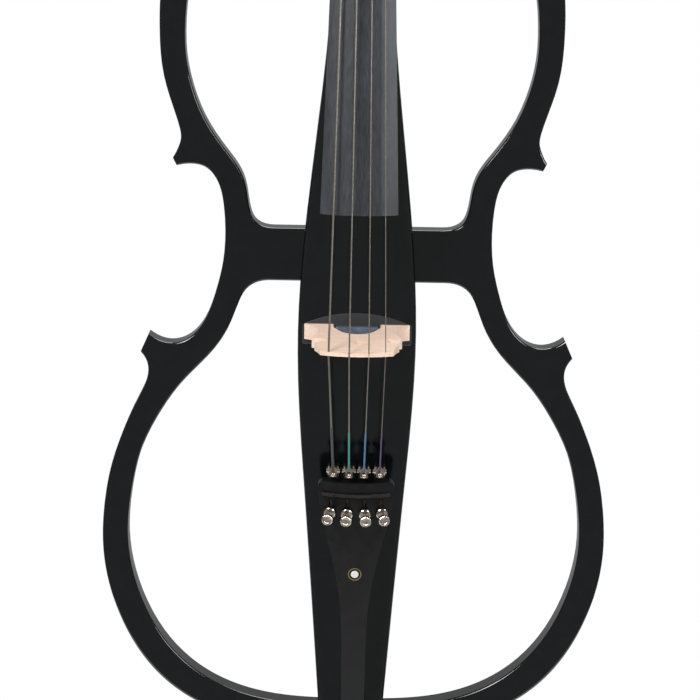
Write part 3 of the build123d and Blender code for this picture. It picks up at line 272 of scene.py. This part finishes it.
# %% Quarter-sawn maple
maple, tree, shader, place = finish_of("maple_quartersawn_bare", "#E6C9B2", 0.55)
fleck = grain(tree, stretched(tree, place, (0.35, 1, 1)), 1.3, 3.0, 0.7)
line = grain(tree, stretched(tree, place, (0.05, 1, 0.4)), 0.8, 4.0)
pale = ramp(tree, line, ((0.3, "#C9AC96"), (0.7, "#DCC6B6")))
dark = ramp(tree, fleck, ((0.6, "#FFFFFF"), (0.7, "#C98F6C")))
mix = tree.nodes.new("ShaderNodeMix")
mix.data_type = "RGBA"
mix.blend_type = "MULTIPLY"
mix.inputs["Factor"].default_value = 0.6
colours = [socket for socket in mix.inputs if socket.type == "RGBA"]
tree.links.new(pale, colours[0])
tree.links.new(dark, colours[1])
join(tree, [socket for socket in mix.outputs if socket.type == "RGBA"][0], shader, "Base Color")
bump(tree, shader, line, 0.04, 0.5)
print("made", maple.name)

# %% [markdown]
# Cello strings are steel ribbon wound round a core. The turns are about a tenth of a millimetre wide,
# too fine to show, so the bands are drawn a millimetre apart. Silk thread wraps the tail end, in one
# colour for each string, and its turns are drawn a little coarser still, with painted shade between them.

# %% Strings and silk
WAVE_REPEAT = 2 * pi / 20  # a wave texture's bands repeat in this much of its scaled length
RIBBON_PITCH = 0.9896  # millimetres
SILK_PITCH = 1.1875


def wound(tree, place, pitch_mm, distortion):
    """Bands across the string at a real pitch."""
    values = {"Vector": place, "Scale": WAVE_REPEAT / (pitch_mm * MM), "Distortion": distortion}
    return add(tree, "ShaderNodeTexWave", values, bands_direction="Z").outputs["Fac"]


def wound_steel(name, base, roughness):
    """Bright steel whose roughness and relief follow the winding."""
    material, tree, shader, place = finish_of(name, base, roughness, Metallic=1.0)
    bands = wound(tree, place, RIBBON_PITCH, 0.4)
    join(tree, spread(tree, bands, roughness - 0.06, roughness + 0.1), shader, "Roughness")
    bump(tree, shader, bands, 0.05, 0.5)
    return material


def silk(name, dark, light):
    """Wound thread with painted shade between its turns, and the soft sheen of silk."""
    material, tree, shader, place = finish_of(name, dark, 0.5)
    shader.inputs["Sheen Weight"].default_value = 0.3
    thread = wound(tree, place, SILK_PITCH, 0.6)
    # the ramp's dark end is painted shade in the grooves between turns, the light end is the thread's own
    # colour
    join(tree, ramp(tree, thread, ((0.2, dark), (0.8, light))), shader, "Base Color")
    bump(tree, shader, thread, 0.08, 0.6)
    return material


string_steel = wound_steel("steel_ribbon_wound", "#8C877E", 0.3)
# each pair: the painted shade between the silk's turns, then the thread's own colour
SILK_COLOURS = {"c": ("#101114", "#26282D"), "g": ("#0A4A41", "#2F8073"), "d": ("#153F62", "#3A6F97"),
                "a": ("#2A1740", "#4A2F66")}
silks = {name: silk(f"silk_thread_{name}", *SILK_COLOURS[name]) for name in STRINGS}
print("made", string_steel.name, "and", len(silks), "silks")

# %% [markdown]
# The rest are metals, plastics and small things. Nickel-plated brass has a mirror finish with faint
# polishing marks, turned steel has rings from the lathe, and each plastic has its mould texture.

# %% Metals, plastics, pearl and rubber


def speckled(name, low, high, rough_low, rough_high, size_mm, depth_mm, stretch=(1, 1, 1), **values):
    """A finish whose colour, roughness and relief all follow one noise of a real size."""
    material, tree, shader, place = finish_of(name, low, rough_low, **values)
    noise = grain(tree, stretched(tree, place, stretch), size_mm, 4.0)
    join(tree, ramp(tree, noise, ((0.3, low), (0.7, high))), shader, "Base Color")
    join(tree, spread(tree, noise, rough_low, rough_high), shader, "Roughness")
    bump(tree, shader, noise, depth_mm, 0.4)
    return material


nickel = speckled("nickel_plate_polished", "#A49A90", "#BFB5AB", 0.12, 0.24, 3.0, 0.01, Metallic=1.0)
steel = speckled("steel_turned", "#8C8D90", "#A5A6A9", 0.22, 0.34, 0.5, 0.02, (0.1, 0.1, 1), Metallic=1.0)
abs_black = speckled("abs_moulded_black", "#1A1A1D", "#26262A", 0.42, 0.55, 0.6, 0.03)
rubber = speckled("rubber_moulded_black", "#121212", "#1C1C1C", 0.7, 0.85, 0.5, 0.05)
resin = speckled("epoxy_cast_blue_grey", "#3A414D", "#525A68", 0.08, 0.16, 6.0, 0.02, Coat_Weight=0.4)
pearl = speckled("mother_of_pearl_polished", "#A5A7A2", "#CFCEC8", 0.12, 0.22, 1.6, 0.01)
cord_black = speckled("polyamide_braid_black", "#0F0F10", "#1B1B1D", 0.5, 0.65, 0.5, 0.06)
beech = speckled("beech_turned_bare", "#A97F58", "#C59C74", 0.5, 0.65, 0.8, 0.03, (0.08, 1, 1))
circuit = speckled("glass_epoxy_board_green", "#0A3320", "#12472E", 0.25, 0.4, 1.2, 0.02)
can = speckled("steel_can_painted_grey", "#24262A", "#34373C", 0.3, 0.45, 2.0, 0.02)
brass = speckled("brass_ring_aged", "#6B5A3C", "#8C7A56", 0.28, 0.42, 1.5, 0.01, Metallic=1.0)
print("made eleven small finishes")

# %% [markdown]
# Every solid of the frame gets one finish. A table from each finish to its pieces is easy to read and to
# check, and the last line names any piece that the table has missed.

# %% Give every frame node its finish
FINISHES = {
    lacquer: ("spine", "wing_left", "wing_right", "neck"),
    board_ebony: ("fingerboard",),
    ebony: ("nut", "saddle", "endpin_collar", "tailpiece_fret") + tuple(f"peg_{s}" for s in STRINGS),
    composite: ("tailpiece",),
    maple: ("bridge",),
    string_steel: tuple(f"string_{s}" for s in STRINGS) + tuple(f"coil_{s}" for s in STRINGS),
    nickel: ("tuner_frames", "tuner_nuts", "tuner_pins", "plate_screws", "line_out_jack", "mini_jacks")
    + tuple(f"tuner_lever_{s}" for s in STRINGS) + tuple(f"tuner_screw_{s}" for s in STRINGS),
    steel: ("endpin_socket", "endpin_screw", "endpin_rod"),
    rubber: ("endpin_tip",),
    pearl: ("eye_pearl",),
    brass: ("eye_ring",),
    resin: ("pickup_bar",),
    abs_black: ("pickup_base", "pickup_lead", "control_plate", "battery_box", "battery_door",
                "volume_knob", "tone_knob", "power_switch"),
    cord_black: ("tailgut",),
    beech: ("wing_dowels",),
    circuit: ("preamp_board",),
    can: ("battery",),
}
FINISHES.update({silks[s]: (f"silk_{s}",) for s in STRINGS})


def paint(piece, material):
    """Give a piece one material and no other."""
    piece.data.materials.clear()
    piece.data.materials.append(material)


for material, names in FINISHES.items():
    for name in names:
        paint(nodes[name], material)
painted = {name for names in FINISHES.values() for name in names}
print("painted", len(painted), "nodes; left out:", sorted(set(nodes) - painted))

# %% [markdown]
# No worked edge is truly sharp. A narrow bevel on the wooden and moulded parts catches the lamps as a thin
# light line along each edge.

# %% Broken edges
EDGE_MM = {"tailpiece": 0.7, "tailpiece_fret": 0.4, "bridge": 0.4, "fingerboard": 0.5, "pickup_base": 0.3}
for name, width in EDGE_MM.items():
    edge = nodes[name].modifiers.new("broken_edge", "BEVEL")
    edge.width = width * MM
    edge.segments = 2
    edge.limit_method = "ANGLE"
    edge.angle_limit = radians(40)
    edge.harden_normals = False
print("edges broken on", list(EDGE_MM))

# %% [markdown]
# The floor is plain white paper. It glows a little, so that it runs into the white behind it.

# %% Floor paper
white, _, shader, _ = finish_of("paper_floor_white", "#F4F4F4", 0.9, Emission_Strength=0.75)
shader.inputs["Emission Color"].default_value = (1, 1, 1, 1)
paint(floor, white)
print("made", white.name)

# %% [markdown]
# Small turned parts come next, and helpers do the work that repeats. The main ones select parts of a mesh by
# place or normal, revolve a profile about Z, and cut straight knurls into a disc. Each piece is modelled
# upright at the origin and then stood on its joint's axis.

# %% Modelling helpers


def only(piece):
    """Leave edit mode, and make a piece the one selected and active object."""
    if bpy.context.mode != "OBJECT":
        bpy.ops.object.mode_set(mode="OBJECT")
    bpy.ops.object.select_all(action="DESELECT")
    piece.select_set(True)
    bpy.context.view_layer.objects.active = piece


def pick(piece, kind, wanted):
    """Enter edit mode with only those vertices or faces selected whose place and normal pass the test."""
    only(piece)
    bpy.ops.object.mode_set(mode="EDIT")
    bpy.ops.mesh.select_mode(type=kind)
    bpy.ops.mesh.select_all(action="DESELECT")
    bpy.ops.object.mode_set(mode="OBJECT")
    parts = piece.data.vertices if kind == "VERT" else piece.data.polygons
    for part in parts:
        part.select = wanted(part.co if kind == "VERT" else part.center, part.normal)
    bpy.ops.object.mode_set(mode="EDIT")


def revolved(name, profile, steps=32):
    """A solid turned about Z from (radius, height) pairs in millimetres, which start and end on the axis."""
    mesh = bpy.data.meshes.new(name)
    corners = [(r * MM, 0, h * MM) for r, h in profile]
    mesh.from_pydata(corners, [(i, i + 1) for i in range(len(profile) - 1)], [])
    piece = bpy.data.objects.new(name, mesh)
    bpy.context.collection.objects.link(piece)
    only(piece)
    lathe = piece.modifiers.new("lathe", "SCREW")
    lathe.steps = steps
    lathe.render_steps = steps
    lathe.use_merge_vertices = True
    lathe.merge_threshold = 1e-6
    bpy.ops.object.modifier_apply(modifier="lathe")
    bpy.ops.object.mode_set(mode="EDIT")
    bpy.ops.mesh.select_all(action="SELECT")
    bpy.ops.mesh.normals_make_consistent(inside=False)
    bpy.ops.object.mode_set(mode="OBJECT")
    return piece


def knurled(name, radius, low, high, teeth, depth, edge, dish):
    """A disc with straight knurls, chamfered ends and a dished top. All sizes are millimetres."""
    bpy.ops.object.select_all(action="DESELECT")
    bpy.ops.mesh.primitive_cylinder_add(vertices=2 * teeth, radius=radius * MM,
                                        depth=(high - low - 2 * edge) * MM,
                                        location=(0, 0, (low + high) / 2 * MM))
    piece = bpy.context.object
    piece.name = name
    bpy.ops.object.transform_apply(location=True, rotation=False, scale=False)
    pick(piece, "VERT", lambda co, normal: round(atan2(co.y, co.x) * teeth / pi) % 2 == 1)
    shrink = 1 - depth / radius
    bpy.ops.transform.resize(value=(shrink, shrink, 1), center_override=(0, 0, 0))
    pick(piece, "FACE", lambda middle, normal: abs(normal.z) > 0.9)
    bpy.ops.mesh.inset(thickness=edge * MM, depth=edge * MM)
    pick(piece, "FACE", lambda middle, normal: normal.z > 0.9)
    bpy.ops.mesh.inset(thickness=radius * 0.22 * MM, depth=0)
    bpy.ops.mesh.inset(thickness=dish * MM, depth=-dish * MM)
    bpy.ops.object.mode_set(mode="OBJECT")
    return piece


def stand(piece, spot, axis):
    """Stand a piece on a spot along an axis, and bake that into its mesh."""
    only(piece)
    piece.rotation_mode = "QUATERNION"
    piece.rotation_quaternion = Vector(axis).to_track_quat("Z", "Y")
    piece.location = spot
    bpy.ops.object.transform_apply(location=True, rotation=True, scale=True)


def cut(piece, cutter):
    """Take the cutter's shape out of a piece and remove the cutter."""
    only(piece)
    saw = piece.modifiers.new("saw", "BOOLEAN")
    saw.operation = "DIFFERENCE"
    saw.object = cutter
    bpy.ops.object.modifier_apply(modifier="saw")
    bpy.data.objects.remove(cutter)


def joined(name, parts):
    """Several pieces made one."""
    only(parts[0])
    for part in parts:
        part.select_set(True)
    bpy.ops.object.join()
    parts[0].name = name
    return parts[0]


def dress(piece, material, body, slot, *replaced):
    """Smooth a finished piece, paint it, and let it ride on its body in place of its plain solids."""
    only(piece)
    bpy.ops.object.shade_smooth_by_angle(angle=radians(32))
    paint(piece, material)
    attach(piece, body)
    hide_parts(*replaced)
    return piece


slots = {part["node"]: part["material_slot"] for part in frame["record"]["subparts"]}
print("helpers ready,", len(slots), "slots known")

# %% [markdown]
# Each fine tuner has a knurled thumbscrew whose thread runs down through a round collar nut. The screws
# splay outward a little, so both take their line from the joint's own axis.

# %% Thumbscrews and collar nuts
HEAD_RADIUS = 4.75  # all in millimetres
SHAFT_END = {"c": -26.6, "g": -29.2, "d": -29.2, "a": -26.6}  # below the joint's point
THREAD_PITCH = 0.7
COLLAR_RADIUS = 4.9
COLLAR_LOW, COLLAR_HIGH = -14.3, -10.9
COLLAR_BORE = 3.12
collars = []
for s in STRINGS:
    joint = joints[f"tuner_{s}_screw"]
    head = knurled(f"thumb_{s}", HEAD_RADIUS, -0.2, 4.0, 24, 0.28, 0.6, 0.35)
    thread = [(0, SHAFT_END[s]), (1.1, SHAFT_END[s])]
    for k in range(int(-SHAFT_END[s] / THREAD_PITCH)):
        height = SHAFT_END[s] + THREAD_PITCH / 2 + THREAD_PITCH * k
        thread += [(1.5, height), (1.25, height + THREAD_PITCH / 2)]
    shaft = revolved(f"shaft_{s}", thread + [(1.3, 0.0), (0, 0.0)], 20)
    screw = joined(f"thumbscrew_{s}", [head, shaft])
    stand(screw, joint["pos_m"], joint["axis"])
    dress(screw, nickel, f"tuner_screw_{s}", slots[f"tuner_screw_{s}"], f"tuner_screw_{s}")
    collar = knurled(f"collar_{s}", COLLAR_RADIUS, COLLAR_LOW, COLLAR_HIGH, 30, 0.16, 0.5, 0.1)
    cut(collar, revolved("drill", [(0, -16), (COLLAR_BORE, -16), (COLLAR_BORE, -9), (0, -9)]))
    stand(collar, joint["pos_m"], joint["axis"])
    collars.append(collar)
dress(joined("tuner_collar_nuts", collars), nickel, "frame", slots["tuner_nuts"], "tuner_nuts")
print("thumbscrews and collar nuts:", len(collars), "of each")

# %% [markdown]
# On the pegs the strings lie in a few close turns. A circle swept as a screw about the peg gives the same
# helix as a wound string.

# %% String windings on the pegs
WRAP = {"c": 0.85, "g": 0.68, "d": 0.53, "a": 0.40}  # radius of each string, in millimetres
WRAP_GAP = 0.05  # a turn is this much thinner, so that it doesn't run into the next one
TURNS = {"c": 5, "g": 5, "d": 6, "a": 7}
for s in STRINGS:
    low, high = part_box(f"coil_{s}")
    middle = [(a + b) / 2 for a, b in zip(low, high)]
    wrap = (WRAP[s] - WRAP_GAP) * MM
    reach = (high[2] - low[2]) / 2 - wrap
    bpy.ops.object.select_all(action="DESELECT")
    bpy.ops.mesh.primitive_circle_add(vertices=12, radius=wrap, location=(reach, 0, 0),
                                      rotation=(pi / 2, 0, 0))
    coil = bpy.context.object
    coil.name = f"winding_{s}"
    bpy.ops.object.transform_apply(location=True, rotation=True, scale=True)
    winder = coil.modifiers.new("winder", "SCREW")
    winder.screw_offset = 2 * WRAP[s] * MM
    winder.iterations = TURNS[s] - 1
    winder.steps = 40
    winder.render_steps = 40
    bpy.ops.object.modifier_apply(modifier="winder")
    bpy.ops.object.mode_set(mode="EDIT")
    bpy.ops.mesh.select_all(action="SELECT")
    bpy.ops.mesh.remove_doubles(threshold=1e-6)
    bpy.ops.mesh.fill_holes(sides=0)
    bpy.ops.mesh.normals_make_consistent(inside=False)
    bpy.ops.object.mode_set(mode="OBJECT")
    start = low[0] + WRAP[s] * MM
    stand(coil, (start, middle[1], middle[2]), (1, 0, 0))
    dress(coil, string_steel, f"peg_{s}", slots[f"coil_{s}"], f"coil_{s}")
print("wound", sum(TURNS.values()), "turns")

# %% [markdown]
# The two knobs on the back plate have fluted rims and a milled pointer line. Their shafts go down through
# the plate.

# %% Volume and tone knobs
KNOB_RADIUS = 7.5  # all in millimetres
KNOB_LOW, KNOB_HIGH = 0.5, 11.0
FLUTES = 18
for name in ("volume", "tone"):
    joint = joints[f"{name}_turn"]
    knob = knurled(f"{name}_fluted", KNOB_RADIUS, KNOB_LOW, KNOB_HIGH, FLUTES, 0.6, 0.9, 0.4)
    shaft = revolved("shaft", [(0, -5.5), (2.8, -5.5), (3.0, -5.3), (3.0, 1.0), (0, 1.0)], 24)
    knob = joined(f"{name}_fluted", [knob, shaft])
    bpy.ops.mesh.primitive_cube_add(size=1, location=(0, 4.2 * MM, 10.9 * MM),
                                    scale=(0.9 * MM, 6.4 * MM, 1.1 * MM))
    cut(knob, bpy.context.object)
    stand(knob, joint["pos_m"], joint["axis"])
    dress(knob, abs_black, f"{name}_knob", slots[f"{name}_knob"], f"{name}_knob")
print("knobs fluted")
